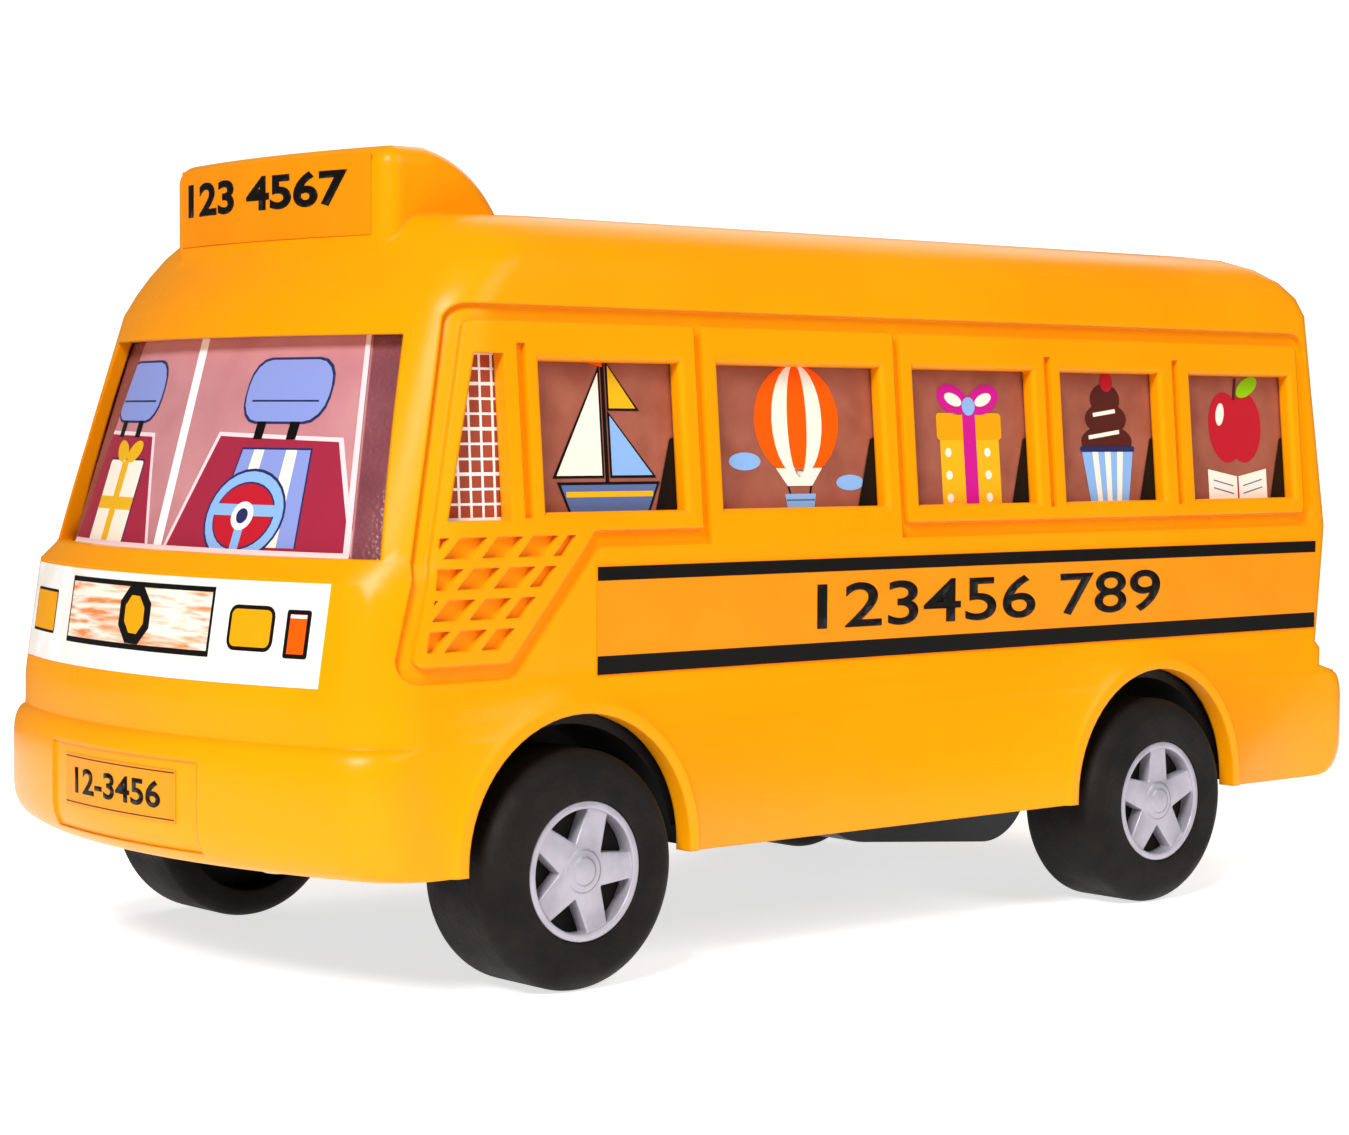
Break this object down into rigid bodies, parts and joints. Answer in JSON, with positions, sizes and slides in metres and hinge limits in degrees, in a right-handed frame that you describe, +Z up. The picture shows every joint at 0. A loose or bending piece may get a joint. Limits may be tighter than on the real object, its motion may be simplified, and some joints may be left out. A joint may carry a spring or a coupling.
{
  "type": "toy bus",
  "caption": "Toy school bus with a moulded body, printed window and band labels, a roof sign, a pull-back motor and free-rolling wheels.",
  "frame": {"origin": "on the ground under the bus, on its centre line, midway between the front and rear bumpers", "axes": "+Z up, -Y towards the front of the bus, +X towards its left side"},
  "size_m": [0.0756, 0.1704, 0.0896],
  "materials": {
    "body_plastic": "glossy moulded plastic",
    "insert_plastic": "grained moulded plastic",
    "windscreen_print": "glossy printed label",
    "window_print": "glossy printed label",
    "front_print": "glossy printed label",
    "band_print": "glossy printed label",
    "plate_print": "glossy printed label",
    "lamp_print": "glossy printed label",
    "sign_print": "glossy printed label",
    "chassis_plastic": "satin moulded plastic",
    "motor_plastic": "satin moulded plastic",
    "gear_plastic": "natural nylon",
    "tyre_rubber": "soft matt vinyl",
    "hub_plastic": "silver satin plastic",
    "axle_steel": "bright drawn",
    "spring_steel": "blued",
    "screw_steel": "zinc plated"
  },
  "bodies": {
    "bus_body": {"body_shell": "body_plastic", "window_insert": "insert_plastic", "windscreen_label": "windscreen_print", "side_window_labels_left": "window_print", "side_window_labels_right": "window_print", "rear_window_label": "window_print", "front_band_label": "front_print", "side_band_label_left": "band_print", "side_band_label_right": "band_print", "front_number_plate": "plate_print", "rear_number_plate": "plate_print", "tail_lamp_labels": "lamp_print", "sign_label": "sign_print", "chassis": "chassis_plastic", "chassis_screws": "screw_steel", "motor_case_left": "motor_plastic", "motor_case_right": "motor_plastic", "case_screws": "screw_steel", "motor_screws": "screw_steel", "gear_pin": "axle_steel", "mainspring": "spring_steel"},
    "front_wheels": {"front_axle": "axle_steel", "tyre_front_left": "tyre_rubber", "tyre_front_right": "tyre_rubber", "hub_front_left": "hub_plastic", "hub_front_right": "hub_plastic"},
    "rear_wheels": {"rear_axle": "axle_steel", "tyre_rear_left": "tyre_rubber", "tyre_rear_right": "tyre_rubber", "hub_rear_left": "hub_plastic", "hub_rear_right": "hub_plastic", "drive_pinion": "gear_plastic"},
    "reduction_gear": {"reduction_gear": "gear_plastic"},
    "winding_gear": {"winding_gear": "gear_plastic"}
  },
  "joints": [
    {"name": "front_axle_spin", "type": "hinge", "parent": "bus_body", "child": "front_wheels", "pos_m": [0, -0.0504, 0.0129], "axis": [1, 0, 0], "continuous": true},
    {"name": "rear_axle_spin", "type": "hinge", "parent": "bus_body", "child": "rear_wheels", "pos_m": [0, 0.0435, 0.0129], "axis": [1, 0, 0], "continuous": true},
    {"name": "reduction_gear_spin", "type": "hinge", "parent": "bus_body", "child": "reduction_gear", "pos_m": [0, 0.03322, 0.01505], "axis": [1, 0, 0], "continuous": true},
    {"name": "winding_gear_spin", "type": "hinge", "parent": "bus_body", "child": "winding_gear", "pos_m": [0, 0.02148, 0.0175], "axis": [1, 0, 0], "continuous": true}
  ],
  "couplings": [
    {"joint": "reduction_gear_spin", "follows": "rear_axle_spin", "ratio": -0.4},
    {"joint": "winding_gear_spin", "follows": "rear_axle_spin", "ratio": 0.13333}
  ]
}
